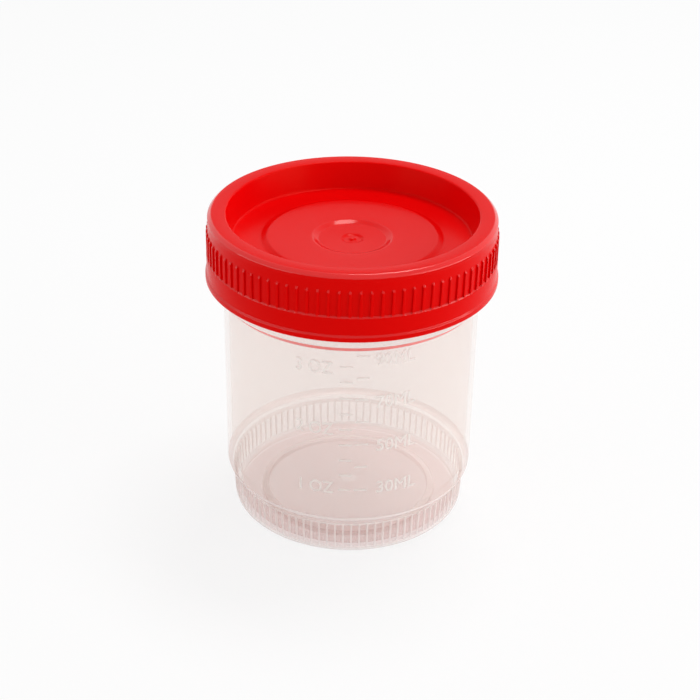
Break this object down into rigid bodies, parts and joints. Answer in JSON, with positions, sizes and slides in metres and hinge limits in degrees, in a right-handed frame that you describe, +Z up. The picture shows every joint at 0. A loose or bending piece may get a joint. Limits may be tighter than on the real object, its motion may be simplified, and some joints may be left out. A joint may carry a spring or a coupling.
{
  "type": "specimen container",
  "caption": "Screw-lidded specimen container: a thin translucent cup with a finely ribbed foot and volume marks, and a red ribbed lid with a deep round recess.",
  "frame": {"origin": "on the container's axis, in the plane that its foot stands on", "axes": "+Z up along the container's axis, -Y to the front, where the volume marks are, +X to the right seen from the front"},
  "size_m": [0.0584, 0.0584, 0.065],
  "materials": {
    "cup": "translucent moulded polypropylene, satin",
    "lid": "opaque red moulded polyethylene, satin"
  },
  "bodies": {
    "container": {"cup": "cup"},
    "lid": {"lid": "lid"}
  },
  "joints": [
    {"name": "lid_lift", "type": "slide", "parent": "container", "child": "lid", "axis": [0, 0, 1], "range_m": [0, 0.03]}
  ]
}
